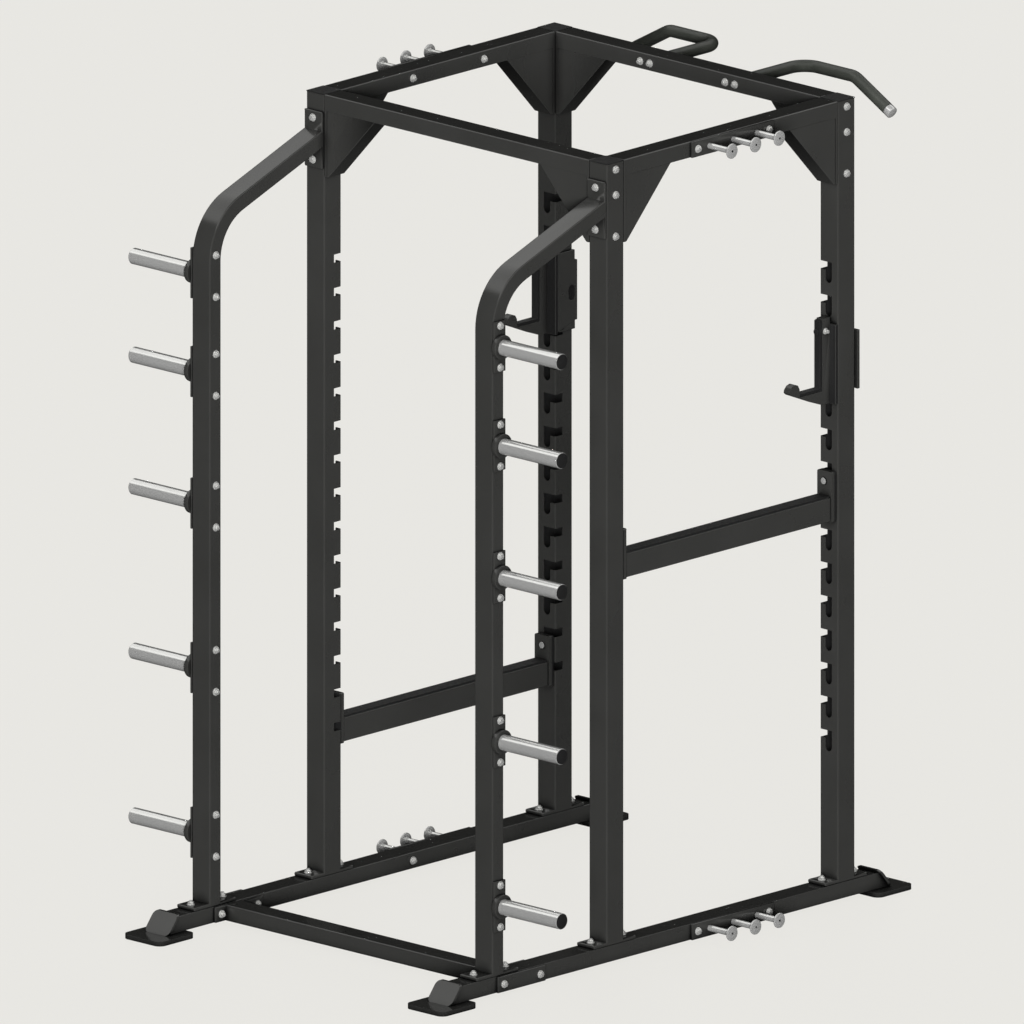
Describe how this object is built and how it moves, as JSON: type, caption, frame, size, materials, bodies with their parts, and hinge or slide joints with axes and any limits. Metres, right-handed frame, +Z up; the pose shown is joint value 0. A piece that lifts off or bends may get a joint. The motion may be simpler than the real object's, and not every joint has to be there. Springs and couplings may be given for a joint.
{
  "type": "power cage",
  "caption": "Free-standing power cage with slotted uprights, lift-out safety bars and J-hooks, plate pegs, band pegs and angled pull-up handles.",
  "frame": {"origin": "on the floor under the middle of the cage's bounding box", "axes": "+X across the cage, +Y from the plate storage end to the pull-up handles, +Z up"},
  "size_m": [1.7936, 2.1276, 2.52],
  "materials": {
    "frame_paint": "charcoal semi-gloss powder coat",
    "chrome": "bright chrome plate",
    "zinc": "bright zinc plated fasteners",
    "black_plastic": "black moulded plastic",
    "grip_rubber": "dark textured grip"
  },
  "bodies": {
    "root": {"low_cross_member": "frame_paint", "top_cross_rail_near": "frame_paint", "top_cross_rail_far": "frame_paint", "base_rail_right": "frame_paint", "foot_plate_near_right": "frame_paint", "foot_plate_far_right": "frame_paint", "cross_backing_plate_right": "frame_paint", "top_side_rail_right": "frame_paint", "storage_upright_right": "frame_paint", "band_pegs_top_right": "chrome", "band_pegs_base_right": "chrome", "pull_up_handle_right": "chrome", "pull_up_grip_right": "grip_rubber", "plate_peg_bracket_right_1": "frame_paint", "plate_peg_sleeve_right_1": "chrome", "plate_peg_bracket_right_2": "frame_paint", "plate_peg_sleeve_right_2": "chrome", "plate_peg_bracket_right_3": "frame_paint", "plate_peg_sleeve_right_3": "chrome", "plate_peg_bracket_right_4": "frame_paint", "plate_peg_sleeve_right_4": "chrome", "plate_peg_bracket_right_5": "frame_paint", "plate_peg_sleeve_right_5": "chrome", "upright_near_right": "frame_paint", "upright_cap_near_right": "black_plastic", "upright_far_right": "frame_paint", "upright_cap_far_right": "black_plastic", "base_rail_left": "frame_paint", "foot_plate_near_left": "frame_paint", "foot_plate_far_left": "frame_paint", "cross_backing_plate_left": "frame_paint", "top_side_rail_left": "frame_paint", "storage_upright_left": "frame_paint", "band_pegs_top_left": "chrome", "band_pegs_base_left": "chrome", "pull_up_handle_left": "chrome", "pull_up_grip_left": "grip_rubber", "plate_peg_bracket_left_1": "frame_paint", "plate_peg_sleeve_left_1": "chrome", "plate_peg_bracket_left_2": "frame_paint", "plate_peg_sleeve_left_2": "chrome", "plate_peg_bracket_left_3": "frame_paint", "plate_peg_sleeve_left_3": "chrome", "plate_peg_bracket_left_4": "frame_paint", "plate_peg_sleeve_left_4": "chrome", "plate_peg_bracket_left_5": "frame_paint", "plate_peg_sleeve_left_5": "chrome", "upright_near_left": "frame_paint", "upright_cap_near_left": "black_plastic", "upright_far_left": "frame_paint", "upright_cap_far_left": "black_plastic"},
    "safety_bar_right": {"safety_bar_right": "frame_paint", "safety_strip_right": "black_plastic"},
    "j_hook_right": {"j_hook_right": "frame_paint", "j_hook_liner_right": "black_plastic"},
    "safety_bar_left": {"safety_bar_left": "frame_paint", "safety_strip_left": "black_plastic"},
    "j_hook_left": {"j_hook_left": "frame_paint", "j_hook_liner_left": "black_plastic"}
  },
  "joints": [
    {"name": "safety_bar_right_lift", "type": "slide", "parent": "root", "child": "safety_bar_right", "axis": [0, 0, 1], "range_m": [0, 0.0385]},
    {"name": "safety_bar_left_lift", "type": "slide", "parent": "root", "child": "safety_bar_left", "axis": [0, 0, 1], "range_m": [0, 0.0385]},
    {"name": "j_hook_right_lift", "type": "slide", "parent": "root", "child": "j_hook_right", "axis": [0, 0, 1], "range_m": [0, 0.0385]},
    {"name": "j_hook_left_lift", "type": "slide", "parent": "root", "child": "j_hook_left", "axis": [0, 0, 1], "range_m": [0, 0.0385]}
  ]
}
